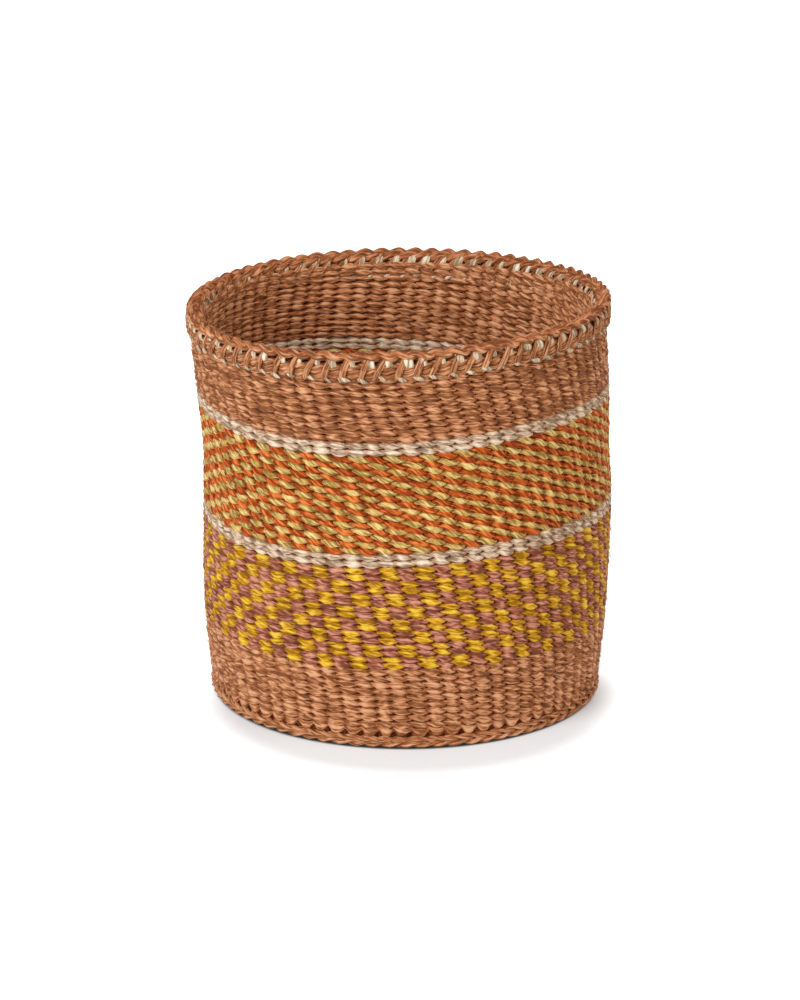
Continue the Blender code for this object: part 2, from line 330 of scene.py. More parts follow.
def finish_piece(mesh, points, tone, tuck, laps, slot, nodes=()):
    """Moves a mesh of tubes to its points and makes it a piece of the basket.

    tone is each vertex's paler or darker dye, with painted light added in some places and painted
    shade in others. The fourth value is painted shade: how much darker a vertex is drawn where it lies
    deep between its neighbours. laps is the length of each copy's texture, in stake pitches.
    """
    mesh.vertices.foreach_set("co", points.astype(np.float32).ravel())
    for attribute, values in (("tone", tone), ("tuck", tuck)):
        layer = mesh.attributes.new(attribute, "FLOAT", "POINT")
        layer.data.foreach_set("value", np.broadcast_to(values, len(points)).astype(np.float32))
    layer = mesh.uv_layers["Cord"].uv
    cord = np.empty(2 * len(mesh.loops), dtype=np.float32)
    layer.foreach_get("vector", cord)
    cord = cord.reshape(-1, 2)
    copies = len(laps)
    number = np.repeat(np.arange(copies), len(cord) // copies)
    starts = np.concatenate(([0.0], np.cumsum(np.ceil(laps) + 1)))[:-1]
    cord[:, 0] = cord[:, 0] * np.asarray(laps)[number] + starts[number]
    layer.foreach_set("vector", cord.ravel())
    shape = bmesh.new()
    shape.from_mesh(mesh)
    bmesh.ops.recalc_face_normals(shape, faces=shape.faces)
    shape.to_mesh(mesh)
    shape.free()
    mesh.shade_smooth()
    mesh.materials.append(sisal(slot))
    piece = bpy.data.objects.new(mesh.name, mesh)
    bpy.context.scene.collection.objects.link(piece)
    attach(piece, "root")
    if nodes:
        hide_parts(*nodes)


# Materials


def maths(tree, operation, first, second=None, third=None):
    node = tree.nodes.new("ShaderNodeMath")
    node.operation = operation
    for socket, value in zip(node.inputs, (first, second, third)):
        if value is None:
            continue
        if isinstance(value, (int, float)):
            socket.default_value = value
        else:
            tree.links.new(value, socket)
    return node.outputs[0]


# How pale a cord is at its middle tone, and how much each layer of its look changes that. The ply layer
# is painted shade: paler on the crown of each ply and darker in the groove between the plies
SHADE_START = 0.27
FINE_SHADE = 3.2
HAIR_SHADE = 1.4
BROAD_SHADE = 0.8
TONE_SHADE = 0.07
PLY_PAINTED_SHADE = 0.55
# How much each layer stands out
FINE_HEIGHT = 0.9
HAIR_HEIGHT = 0.35
PLY_HEIGHT = 0.6


def spun_fibre_group():
    """Shader group: the fibres of a two-ply cord, from the cord's own UV map."""
    name = "Spun fibre"
    if name in bpy.data.node_groups:
        return bpy.data.node_groups[name]
    tree = bpy.data.node_groups.new(name, "ShaderNodeTree")
    for label, default in (("Ply turns", 0.9), ("Fibre length", 1.6), ("Ply depth", 0.6)):
        socket = tree.interface.new_socket(name=label, in_out="INPUT", socket_type="NodeSocketFloat")
        socket.default_value = default
    for label in ("Shade", "Height", "Tuck"):
        tree.interface.new_socket(name=label, in_out="OUTPUT", socket_type="NodeSocketFloat")
    nodes = tree.nodes
    links = tree.links
    given = nodes.new("NodeGroupInput")
    out = nodes.new("NodeGroupOutput")
    cord = nodes.new("ShaderNodeUVMap")
    cord.uv_map = "Cord"
    split = nodes.new("ShaderNodeSeparateXYZ")
    links.new(cord.outputs["UV"], split.inputs["Vector"])
    place = split.outputs["X"]
    slack = nodes.new("ShaderNodeTexNoise")
    slack.noise_dimensions = "1D"
    slack.inputs["Scale"].default_value = 0.14
    slack.inputs["Detail"].default_value = 0.0
    links.new(place, slack.inputs["W"])
    turned = maths(tree, "MULTIPLY_ADD", place, given.outputs["Ply turns"], split.outputs["Y"])
    turned = maths(tree, "ADD", slack.outputs["Fac"], turned)
    angle = maths(tree, "MULTIPLY", turned, 2 * math.pi)
    cosine = maths(tree, "COSINE", angle)
    sine = maths(tree, "SINE", angle)

    def streaks(across, length, detail):
        """Noise drawn out along the turning fibres."""
        vector = nodes.new("ShaderNodeCombineXYZ")
        links.new(maths(tree, "MULTIPLY", cosine, across), vector.inputs["X"])
        links.new(maths(tree, "MULTIPLY", sine, across), vector.inputs["Y"])
        links.new(maths(tree, "MULTIPLY", place, length), vector.inputs["Z"])
        noise = nodes.new("ShaderNodeTexNoise")
        noise.inputs["Scale"].default_value = 1.0
        noise.inputs["Detail"].default_value = detail
        noise.inputs["Roughness"].default_value = 0.68
        links.new(vector.outputs["Vector"], noise.inputs["Vector"])
        return noise.outputs["Fac"]

    def layered(noise, share, rest):
        """The rest and a share of how far the noise is from its middle."""
        return maths(tree, "MULTIPLY_ADD", maths(tree, "SUBTRACT", noise, 0.5), share, rest)

    fine = streaks(1.35, given.outputs["Fibre length"], 1.2)
    hair = streaks(4.5, given.outputs["Fibre length"], 2.0)
    broad = streaks(0.7, 0.4, 1.0)
    ply = maths(tree, "ABSOLUTE", cosine)
    rounded = maths(tree, "POWER", ply, 0.5)
    ply_height = maths(tree, "MULTIPLY", rounded, given.outputs["Ply depth"])
    height = maths(tree, "MULTIPLY", ply_height, PLY_HEIGHT)
    height = maths(tree, "MULTIPLY_ADD", fine, FINE_HEIGHT, height)
    height = maths(tree, "MULTIPLY_ADD", hair, HAIR_HEIGHT, height)
    tone = nodes.new("ShaderNodeAttribute")
    tone.attribute_name = "tone"
    # The painted shade that the mesh gives each vertex in gaps and hollows
    tuck = nodes.new("ShaderNodeAttribute")
    tuck.attribute_name = "tuck"
    shade = layered(fine, FINE_SHADE, SHADE_START)
    shade = layered(hair, HAIR_SHADE, shade)
    shade = layered(broad, BROAD_SHADE, shade)
    shade = maths(tree, "MULTIPLY_ADD", tone.outputs["Fac"], TONE_SHADE, shade)
    # Painted shade: darker in the grooves between the plies
    shade = maths(tree, "MULTIPLY_ADD", ply_height, PLY_PAINTED_SHADE, shade)
    links.new(shade, out.inputs["Shade"])
    links.new(height, out.inputs["Height"])
    links.new(tuck.outputs["Fac"], out.inputs["Tuck"])
    return tree


# Each dye's cord: ply turns in a stake pitch, fibre length, ply depth, share of colour kept where
# painted shade darkens the gaps
CORDS = {
    "tan": (0.04, 1.4, 0.5, 0.62),
    "cream": (0.12, 1.5, 0.5, 0.62),
    "natural": (0.1, 0.6, 0.35, 0.35),
    "orange": (0.4, 1.7, 0.6, 0.6),
    "straw": (0.4, 1.7, 0.6, 0.6),
    "mustard": (0.05, 1.4, 0.5, 0.6),
    "rose": (0.05, 1.4, 0.5, 0.6),
}


def sisal(slot):
    """The material of one dye of cord, made when it is first asked for."""
    dye = slot.removesuffix("_sisal")
    turns, length, ply, kept = CORDS[dye]
    name = "spun " + dye
    if name in bpy.data.materials:
        return bpy.data.materials[name]
    colour = getattr(bpy.context.scene.kiondo_colours, dye)
    material = bpy.data.materials.new(name)
    material.use_nodes = True
    tree = material.node_tree
    nodes = tree.nodes
    links = tree.links
    shader = nodes["Principled BSDF"]
    fibre = nodes.new("ShaderNodeGroup")
    fibre.node_tree = spun_fibre_group()
    fibre.inputs["Ply turns"].default_value = turns
    fibre.inputs["Fibre length"].default_value = length
    fibre.inputs["Ply depth"].default_value = ply
    deep = tuple(0.5 * value ** 1.1 for value in colour)
    pale = tuple(min(1.28 * value ** 0.7, 0.9) for value in colour)
    ramp = nodes.new("ShaderNodeValToRGB")
    ramp.color_ramp.interpolation = "EASE"
    ramp.color_ramp.elements.new(0.5)
    stops = ((0.08, deep), (0.5, colour), (0.95, pale))
    for element, (place, shade) in zip(ramp.color_ramp.elements, stops):
        element.position = place
        element.color = (*shade, 1.0)
    links.new(fibre.outputs["Shade"], ramp.inputs["Fac"])
    # Painted shade: the colour is darkened towards a deep warm tone where the mesh marks a gap or
    # hollow
    shadow = nodes.new("ShaderNodeMix")
    shadow.data_type = "RGBA"
    shadow.blend_type = "MULTIPLY"
    links.new(fibre.outputs["Tuck"], shadow.inputs["Factor"])
    links.new(ramp.outputs["Color"], shadow.inputs["A"])
    shadow.inputs["B"].default_value = (kept, kept**2, kept**3, 1.0)
    links.new(shadow.outputs["Result"], shader.inputs["Base Color"])
    rough = maths(tree, "MULTIPLY_ADD", fibre.outputs["Shade"], -0.22, 0.78)
    links.new(rough, shader.inputs["Roughness"])
    shader.inputs["Specular IOR Level"].default_value = 0.14
    bump = nodes.new("ShaderNodeBump")
    bump.inputs["Strength"].default_value = 0.9
    bump.inputs["Distance"].default_value = 0.0008
    links.new(fibre.outputs["Height"], bump.inputs["Height"])
    links.new(bump.outputs["Normal"], shader.inputs["Normal"])
    return material


# Twined rows

SECTIONS_PER_STAKE = 8
STRAND_SIDES = 8
CROSSING_HALF_HEIGHT = 0.94 * MM
CROSSING_DROP = 0.37 * MM
# How fast a strand comes forward before a stake, and how fast it goes back behind the next
FORWARD_POWER = 1.4
BACK_POWER = 1.3
# How much of its row a stitch fills, and how far it stays full towards its ends
STITCH_FILL_SHARE = 1.26
STITCH_END_POWER = 3.2
# How square the section of a strand is: 1 is an ellipse
STRAND_SQUARENESS = 0.65
# How much one stitch differs from the next
FATNESS_SPREAD = 0.1
PROUD_SPREAD = 0.1 * MM
SAG_SPREAD = 0.16 * MM
# How much painted shade darkens a strand where it passes between two stakes, and how sharply it is held
# to that place
CROSSING_PAINTED_SHADE = 0.5
CROSSING_PAINTED_SHADE_POWER = 8
# How far a row strays, over how many sections, and how much of that it takes from the row below
ROW_WOBBLE = 0.2 * MM
WOBBLE_SECTIONS = 45
WOBBLE_KEPT_SHARE = 0.8
WOBBLE_NEW_SHARE = 0.5
# How much more the stitches slant on the +X side and less on the -X side, in shares of their slant
SLANT_CHANGE = 0.85
# Painted light: how much paler a strand is drawn on its inner side, in steps of tone
INSIDE_PAINTED_LIGHT = 2.5
# How far the lowest row is drawn up between the stakes, which leaves a hole above the foot plait
FOOT_HOLE_LIFT = 1.5 * MM
FOOT_HOLE_POWER = 6
FOOT_ROW_DROP = 0.5 * MM


def strand_face(front, depth):
    """How far out a strand's outer face lies. front goes from 1 before a stake to -1 behind it."""
    crossing = depth / 2 - CROSSING_DROP
    behind = sizes().stitch_depth - depth / 2
    before = np.clip(front, 0, 1) ** FORWARD_POWER
    after = np.clip(-front, 0, 1) ** BACK_POWER
    return crossing + CROSSING_DROP * before + (behind - crossing) * after


def strand(rng, copy, section, turn, phases, depth, pitch, stakes, per_stake, slant, levelness=1.0):
    """How far out and up from its row's middle each vertex of the strands lies, with its looks.

    phases holds 0 for a strand in front of the even stakes and 1 for one in front of the odd. slant is
    how far it stands above its row before a stake. levelness is 0 where it slants evenly over a stake
    and 1 where it lies level there.
    """
    place = section / per_stake + np.asarray(phases)[copy]
    stitch = np.round(section / per_stake).astype(int) % stakes
    front = np.cos(math.pi * place)
    side = np.sin(math.pi * place)
    over = 1 - np.abs(side) ** STITCH_END_POWER
    stitches = (len(phases), stakes)
    fat = 1 + FATNESS_SPREAD * each(rng, stitches, copy, stitch) * over
    proud = PROUD_SPREAD * each(rng, stitches, copy, stitch) * over
    sag = SAG_SPREAD * each(rng, stitches, copy, stitch) * over
    # Random dye tone per stitch, with painted light on the inner side
    tone = each(rng, stitches, copy, stitch) + INSIDE_PAINTED_LIGHT * (np.cos(turn) < -0.5)
    fullest = STITCH_FILL_SHARE * pitch / 2
    half_height = CROSSING_HALF_HEIGHT + (fullest - CROSSING_HALF_HEIGHT) * over
    face = strand_face(front, depth)
    back = -strand_face(-front, depth)
    flat = np.sign(np.cos(turn)) * np.abs(np.cos(turn)) ** STRAND_SQUARENESS
    out = (face + back) / 2 + (face - back) / 2 * flat + proud * np.sign(front)
    drop = slant * side * np.abs(side) ** levelness
    up = sag - drop + half_height * fat * np.sin(turn)
    # The last value is painted shade where the strand passes between two stakes
    return out, up, tone, side**CROSSING_PAINTED_SHADE_POWER * CROSSING_PAINTED_SHADE


def row_wobble():
    """How far each row strays up or down at each section, most of it shared with the row below."""
    rng = np.random.default_rng(SEED)
    count = sizes().stakes * SECTIONS_PER_STAKE
    wobbles = [uneven(rng, count, WOBBLE_SECTIONS)]
    for row in range(1, ALL_ROWS + ROWS_UNDER_RIM):
        new = WOBBLE_NEW_SHARE * uneven(rng, count, WOBBLE_SECTIONS)
        wobbles.append(WOBBLE_KEPT_SHARE * wobbles[-1] + new)
    return ROW_WOBBLE * np.array(wobbles)


def twined_rows(
    name, first, phases_of_row, slot, nodes, seed, slant_share=0.5, levelness=1.0, painted_light=0.0
):
    """Rows of two-strand twining from a first row up. Each has its own list of phases, as in strand."""
    rng = np.random.default_rng(SEED + seed)
    stakes = sizes().stakes
    rows = [first + row for row, phases in enumerate(phases_of_row) for phase in phases]
    phases = [phase for phases in phases_of_row for phase in phases]
    sections = stakes * SECTIONS_PER_STAKE
    mesh, copy, section, turn = tubes(name, len(phases), sections, STRAND_SIDES, True)
    row = np.asarray(rows)[copy]
    pitch = row_pitch() * np.where(row < LOWER_ROWS, 1.0, UPPER_ROW_SHARE)
    level = level_of(row + 0.5)
    angle = stake_angle(section / SECTIONS_PER_STAKE, level)
    slant = sizes().stitch_slant * (slant_share + SLANT_CHANGE * np.cos(angle))
    weave = (sizes().wall_thickness, pitch, stakes, SECTIONS_PER_STAKE, slant, levelness)
    # strand also gives the painted shade where each strand passes between two stakes
    out, up, tone, tuck = strand(rng, copy, section, turn, phases, *weave)
    up = up + row_wobble()[row, section.astype(int)]
    between_stakes = np.sin(math.pi * section / SECTIONS_PER_STAKE) ** FOOT_HOLE_POWER
    up = up + np.where(row == 0, FOOT_HOLE_LIFT * between_stakes - FOOT_ROW_DROP, 0.0)
    points = on_ring(wall_middle(level) + out, angle, level, up)
    # The band's painted light is added to the tone: paler above 0, painted shade below 0
    finish_piece(mesh, points, tone + painted_light, tuck, [stakes] * len(phases), slot, nodes)


BOTH = (0, 1)
# Painted light: how much paler some bands are drawn, in steps of tone; below 0 they are drawn darker as
# painted shade
LOWER_TAN_PAINTED_LIGHT = 1.0
UPPER_TAN_PAINTED_LIGHT = -1.2
ORANGE_STRAW_PAINTED_LIGHT = -0.8


class KIONDO_OT_twined_bands(bpy.types.Operator):
    """Twines the wall: plain tan and cream bands, and two bands in which two dyes take turns"""

    bl_idname = "kiondo.twined_bands"
    bl_label = "Twined bands"

    def execute(self, context):
        self.plain("lower_tan", LOWER_TAN_ROWS, LOWER_TAN_ROWS, "tan", 1, LOWER_TAN_PAINTED_LIGHT)
        self.plain("upper_tan", ALL_ROWS, UPPER_TAN_ROWS, "tan", 2, UPPER_TAN_PAINTED_LIGHT)
        strands = [BOTH] * ROWS_UNDER_RIM
        twined_rows("rows_under_rim", ALL_ROWS, strands, "tan_sisal", (), 9, painted_light=UPPER_TAN_PAINTED_LIGHT)
        dyes = ("rose", "mustard")
        self.mixed(LOWER_TAN_ROWS, MUSTARD_ROSE_ROWS, 2, dyes, "mustard_rose_weft", 5)
        self.plain("lower_cream", LOWER_ROWS, LOWER_CREAM_ROWS, "cream", 3)
        self.plain("upper_cream", ALL_ROWS - UPPER_TAN_ROWS, UPPER_CREAM_ROWS, "cream", 4)
        dyes = ("straw", "orange")
        weave = {"slant_share": 1.0, "levelness": 0.0, "painted_light": ORANGE_STRAW_PAINTED_LIGHT}
        self.mixed(LOWER_ROWS, ORANGE_STRAW_ROWS, 1, dyes, "orange_straw_weft", 7, **weave)
        return {"FINISHED"}

    def plain(self, name, top, rows, dye, seed, painted_light=0.0):
        """A band of one dye that ends at a top row."""
        slot = dye + "_sisal"
        nodes = [name + "_weft"]
        twined_rows(name + "_rows", top - rows, [BOTH] * rows, slot, nodes, seed, painted_light=painted_light)

    def mixed(self, first, rows, swap_every, dyes, node, seed, **weave):
        """A band of two dyes that take turns along each row, and swap every few rows."""
        for phase, dye in enumerate(dyes):
            phases = [((row // swap_every + phase) % 2,) for row in range(rows)]
            twined_rows(dye + "_rows", first, phases, dye + "_sisal", [node], seed + phase, **weave)


# Stakes

# Wide enough to overlap side by side in one sheet, which is drawn wholly in the dark gap colour:
# painted shade behind the gaps between stitches
STAKE_HALF_WIDTH = 4.3 * MM
STAKE_HALF_THICKNESS = 1.2 * MM
STAKE_TOP = 171.5 * MM
STAKE_SECTIONS = 56
STAKE_SIDES = 8


class KIONDO_OT_stakes(bpy.types.Operator):
    """Stands the undyed stakes in the wall, pressed flat side by side between the strands and drawn
    wholly dark as painted shade in the gaps
    """

    bl_idname = "kiondo.stakes"
    bl_label = "Stakes"

    def execute(self, context):
        stakes = sizes().stakes
        mesh, copy, section, turn = tubes("wall_stakes_and_gap_shade", stakes, STAKE_SECTIONS, STAKE_SIDES, False)
        low = BASE_TOP / 2
        level = low + (STAKE_TOP - low) * section / STAKE_SECTIONS
        around = STAKE_HALF_WIDTH * np.sin(turn) / sizes().belly_radius
        radius = wall_middle(level) + STAKE_HALF_THICKNESS * np.cos(turn)
        points = on_ring(radius, stake_angle(copy, level) + around, level)
        # Painted shade over the whole of every stake
        finish_piece(mesh, points, 0.0, 1.0, [STAKE_SECTIONS] * stakes, "natural_sisal")
        return {"FINISHED"}


# Base

BASE_PITCH = 3.0 * MM
BASE_SECTIONS = 6
BASE_SLANT = 0.5 * MM
# How far the base stays off the floor
BASE_GAP = 0.1 * MM
# (stakes that cross the rows, how many rows)
BASE_RINGS = ((74, 9), (38, 9), (18, 6))
START_TURNS = 4
START_SECTIONS = 40 * START_TURNS
START_HOLE = 0.7 * MM
START_OVERLAP = 0.6 * MM
# How much taller than wide the coil's strand is
START_TALLNESS = 1.05


def on_base(radius, angle, height):
    """Points of the base, by distance from its middle, angle and height, kept off the floor."""
    x = FOOT_MIDDLE + radius * np.cos(angle)
    y = radius * np.sin(angle)
    return np.stack((x, y, np.maximum(height, BASE_GAP)), axis=-1)


class KIONDO_OT_base(bpy.types.Operator):
    """Twines the round base from its edge to the start in its middle"""

    bl_idname = "kiondo.base"
    bl_label = "Base"

    def execute(self, context):
        rng = np.random.default_rng(SEED + 20)
        edge = BASE_EDGE
        for number, (stakes, rows) in enumerate(BASE_RINGS):
            phases = list(BOTH) * rows
            name = "base_rows_" + "abc"[number]
            sections = stakes * BASE_SECTIONS
            mesh, copy, section, turn = tubes(name, 2 * rows, sections, STRAND_SIDES, True)
            weave = (BASE_TOP, BASE_PITCH, stakes, BASE_SECTIONS, BASE_SLANT)
            # strand also gives the painted shade where each strand passes between two stakes
            out, up, tone, tuck = strand(rng, copy, section, turn, phases, *weave)
            radius = edge - (copy // 2 + 0.5) * BASE_PITCH - up
            angle = 2 * math.pi * section / sections
            points = on_base(radius, angle, BASE_TOP / 2 + out)
            nodes = ["base_weft"] if number == 0 else []
            finish_piece(mesh, points, tone, tuck, [stakes] * len(phases), "tan_sisal", nodes)
            edge -= rows * BASE_PITCH
        self.start(edge)
        return {"FINISHED"}

    def start(self, edge):
        """The coil in the middle where the base was begun."""
        mesh, copy, section, turn = tubes("base_start_coil", 2, START_SECTIONS, STRAND_SIDES, False)
        share = section / START_SECTIONS
        half = edge / START_TURNS / 2
        radius = START_HOLE + (edge + START_OVERLAP - START_HOLE) * share + half * np.cos(turn)
        side = np.where(copy == 0, 1, -1)
        height = BASE_TOP / 2 + side * (BASE_TOP / 2 - half) + START_TALLNESS * half * np.sin(turn)
        points = on_base(radius, 2 * math.pi * START_TURNS * share, height)
        finish_piece(mesh, points, 0.0, 0.0, [10, 10], "tan_sisal", ["base_centre_tie"])


# Plaits of the foot and rim

# The foot plait looks like two cords of opposite twist, one on the other
FOOT_STRAND_HALF_HEIGHT = 0.8 * MM
FOOT_STRAND_HALF_DEPTH = 1.2 * MM
FOOT_SWING_UP = 0.75 * MM
FOOT_SWING_OUT = 0.95 * MM
FOOT_CORD_STEP = 2.15 * MM
FOOT_PLAIT_RADIUS = 84.7 * MM
# Painted light: how much paler the foot plait is drawn, in steps of tone
FOOT_PAINTED_LIGHT = 2.0
FOOT_FATNESS_SPREAD = 0.08
PLAIT_TONE_SPREAD = 0.8


class KIONDO_OT_foot_plait(bpy.types.Operator):
    """Lays the plait round the foot that the basket stands on"""

    bl_idname = "kiondo.foot_plait"
    bl_label = "Foot plait"

    def execute(self, context):
        rng = np.random.default_rng(SEED + 30)
        stakes = sizes().stakes
        sections = stakes * SECTIONS_PER_STAKE
        mesh, copy, section, turn = tubes("foot_plait", 4, sections, STRAND_SIDES, True)
        stitches = (4, stakes)
        upper = copy // 2
        place = section / SECTIONS_PER_STAKE + copy % 2
        stitch = np.round(section / SECTIONS_PER_STAKE).astype(int) % stakes
        front = np.cos(math.pi * place)
        side = np.sin(math.pi * place)
        fat = 1 + FOOT_FATNESS_SPREAD * each(rng, stitches, copy, stitch) * front**2
        low = FOOT_SWING_UP + FOOT_STRAND_HALF_HEIGHT
        level = low + upper * FOOT_CORD_STEP + np.where(upper, -1, 1) * FOOT_SWING_UP * side
        up = level + FOOT_STRAND_HALF_HEIGHT * fat * np.sin(turn)
        out = FOOT_SWING_OUT * front + FOOT_STRAND_HALF_DEPTH * np.cos(turn)
        angle = stake_angle(section / SECTIONS_PER_STAKE + 0.5, 0.0)
        points = on_ring(FOOT_PLAIT_RADIUS + out, angle, 0.0, up)
        # Random tone on top of the plait's painted light, and painted shade where its strands cross
        tone = FOOT_PAINTED_LIGHT + PLAIT_TONE_SPREAD * each(rng, stitches, copy, stitch)
        tuck = side**CROSSING_PAINTED_SHADE_POWER * CROSSING_PAINTED_SHADE
        nodes = ["foot_cord_a", "foot_cord_b"]
        finish_piece(mesh, points, tone, tuck, [stakes] * 4, "tan_sisal", nodes)
        return {"FINISHED"}


# The three strands of the rim plait are one that goes round three times
RIM_PLAIT_STRANDS = 3
RIM_PLAIT_SECTIONS = 8
RIM_PLAIT_THICKNESS = 4.8 * MM
RIM_PLAIT_RADIUS = 88.9 * MM
RIM_PLAIT_LEVEL = 174.3 * MM
# How far the plait's width turns from upright towards lying flat, with its outer edge down
RIM_PLAIT_LEAN = math.radians(-68)
# How many strands side by side make up the width
RIM_STRANDS_ACROSS = 2.3
RIM_STRAND_FLATNESS = 1.12
RIM_BUMP = 0.06
RIM_BUMP_SECTIONS = 10
# How much painted shade darkens a strand where it lies deepest in the plait
RIM_PAINTED_SHADE = 0.6


class KIONDO_OT_rim_plait(bpy.types.Operator):
    """Lays the plait along the top of the rim"""

    bl_idname = "kiondo.rim_plait"
    bl_label = "Rim plait"

    def execute(self, context):
        rng = np.random.default_rng(SEED + 31)
        stakes = sizes().stakes
        width = sizes().rim_width
        stitches = RIM_PLAIT_STRANDS * stakes
        count = stitches * RIM_PLAIT_SECTIONS
        mesh, copy, section, turn = tubes("rim_plait", 1, count, STRAND_SIDES, True)
        strand_radius = width / (2 * RIM_STRANDS_ACROSS)
        stitch = section / RIM_PLAIT_SECTIONS
        way = 2 * math.pi * stitch / RIM_PLAIT_STRANDS
        bump = uneven(rng, count, RIM_BUMP_SECTIONS)[section.astype(int)]
        size = strand_radius * (1 + RIM_BUMP * bump)
        swing = width / 2 - strand_radius
        depth = RIM_PLAIT_THICKNESS / 2 - strand_radius
        along = swing * np.sin(way) + RIM_STRAND_FLATNESS * size * np.sin(turn)
        proud = -depth * np.sin(2 * way) + size * np.cos(turn)
        out = proud * math.cos(RIM_PLAIT_LEAN) - along * math.sin(RIM_PLAIT_LEAN)
        up = proud * math.sin(RIM_PLAIT_LEAN) + along * math.cos(RIM_PLAIT_LEAN)
        angle = 2 * math.pi * stitch / stakes
        points = on_ring(RIM_PLAIT_RADIUS + out, angle, RIM_PLAIT_LEVEL, up)
        tone = PLAIT_TONE_SPREAD * each(rng, stitches, np.floor(stitch).astype(int) % stitches)
        # Painted shade where the strand lies deepest in the plait
        tuck = np.clip(0.5 + 0.5 * np.sin(2 * way), 0, 1) * RIM_PAINTED_SHADE
        nodes = ["rim_cord_a", "rim_cord_b"]
        finish_piece(mesh, points, tone, tuck, [RIM_PLAIT_STRANDS * stakes], "tan_sisal", nodes)
        return {"FINISHED"}


# Rim: folded stake ends, small rows across them and the lashing between them

ROLL_MIDDLE = 88.6 * MM
END_SECTIONS = 36
END_SIDES = 8
END_HALF_WIDTH = 1.6 * MM
END_HALF_THICKNESS = 0.65 * MM
# How far round an end lies from its stake where it goes over the rim, in stakes
END_LEAN = 0.27
# Where an end starts to lie looser, and how far down from there it is wholly loose
END_HELD_LEVEL = 170.5 * MM
END_LOOSE_DROP = 6 * MM
# How much one end differs from the next
END_WIDTH_SPREAD = 0.18
END_LOOSE_WIDTH_SPREAD = 0.2
END_STRAY = 0.5 * MM
END_PROUD_SPREAD = 0.25 * MM
# (share of the way over the rim, reach from the roll's middle, level, lean in stakes), from the end
# inside the basket to the end outside
STAKE_END_ROUTE = (
    (0.00, -2.2 * MM, 164.7 * MM, 0.76),
    (0.08, -3.0 * MM, 165.6 * MM, 0.66),
    (0.18, -1.5 * MM, 167.0 * MM, 0.42),
    (0.28, -1.8 * MM, 169.6 * MM, 0.30),
    (0.37, -3.0 * MM, 171.7 * MM, END_LEAN),
    (0.45, -2.1 * MM, 173.6 * MM, END_LEAN),
    (0.50, 0.0 * MM, 173.9 * MM, END_LEAN),
    (0.55, 2.1 * MM, 173.6 * MM, END_LEAN),
    (0.63, 3.2 * MM, 171.7 * MM, END_LEAN),
    (0.72, 1.9 * MM, 169.6 * MM, 0.30),
    (0.82, 1.7 * MM, 167.0 * MM, 0.42),
    (0.92, 3.2 * MM, 165.7 * MM, 0.66),
    (1.00, 2.5 * MM, 164.8 * MM, 0.76),
)


class KIONDO_OT_stake_ends(bpy.types.Operator):
    """Folds the ends of the stakes over the rim"""

    bl_idname = "kiondo.stake_ends"
    bl_label = "Folded stake ends"

    def execute(self, context):
        rng = np.random.default_rng(SEED + 40)
        stakes = sizes().stakes
        name = "folded_stake_ends"
        mesh, copy, section, turn = tubes(name, stakes, END_SECTIONS, END_SIDES, False)
        share = section / END_SECTIONS
        reach, level, lean = np.moveaxis(between(STAKE_END_ROUTE, share), -1, 0)
        step = 0.01
        ahead = between(STAKE_END_ROUTE, np.minimum(share + step, 1.0))
        behind = between(STAKE_END_ROUTE, np.maximum(share - step, 0.0))
        along = (ahead - behind)[..., :2]
        along /= np.linalg.norm(along, axis=-1, keepdims=True)
        outside = reach > 0
        loose = np.clip((END_HELD_LEVEL - level) / END_LOOSE_DROP, 0, 1)
        halves = (2, stakes)
        half = outside.astype(int)
        width = END_HALF_WIDTH * (1 + END_WIDTH_SPREAD * each(rng, stakes, copy))
        width = width * (1 + END_LOOSE_WIDTH_SPREAD * each(rng, halves, half, copy) * loose)
        drift = END_STRAY * each(rng, stakes, copy)
        drift = drift + END_STRAY * loose * each(rng, halves, half, copy)
        level = level + END_STRAY * loose * each(rng, halves, half, copy)
        proud = END_PROUD_SPREAD * each(rng, halves, half, copy) * np.sign(reach)
        thick = END_HALF_THICKNESS * np.cos(turn)
        reach = reach + proud - along[..., 1] * thick
        level = level + along[..., 0] * thick
        ring = ROLL_MIDDLE + reach
        angle = stake_angle(copy + lean, level) + (drift + width * np.sin(turn)) / ring
        points = on_ring(ring, angle, level)
        # Darker tone where the ends hang loose and low, and painted shade, a little all over and more
        # where they hang loose
        tone = each(rng, stakes, copy) - 0.8 * loose
        loose_end_painted_shade = 0.02 + 0.15 * loose
        nodes = ["rim_stake_ends"]
        finish_piece(mesh, points, tone, loose_end_painted_shade, [5] * stakes, "natural_sisal", nodes)
        return {"FINISHED"}


SMALL_ROWS = 3
SMALL_ROW_START = 166.6 * MM
SMALL_ROW_PITCH = 1.8 * MM
SMALL_ROW_REACH = 2.8 * MM
# How far a small row lies back between two ends, and how much it swells over one
SMALL_ROW_DIP = 0.9 * MM
SMALL_ROW_CREST = 0.95
SMALL_ROW_SPREAD = 0.2
SMALL_ROW_HALF_HEIGHT = 0.85
SMALL_ROW_HALF_DEPTH = 0.8 * MM
SMALL_ROW_SLANT = 0.5 * MM
LASHING_TURNS = 2
LASHING_SECTIONS = 24
LASHING_SIDES = 6
LASHING_HALF_WIDTH = 0.9 * MM
LASHING_HALF_THICKNESS = 0.65 * MM
LASHING_REACH = 3.15 * MM
LASHING_BOTTOM = 164.6 * MM
LASHING_TOP = 174.4 * MM
# How square its way round the rim is: 1 is an ellipse
LASHING_SQUARENESS = 0.75
# How far apart the turns of a pair lie, in half widths
LASHING_SPACING = 1.6
LASHING_SLANT_SHARE = 0.68
LASHING_BOW = 0.6 * MM


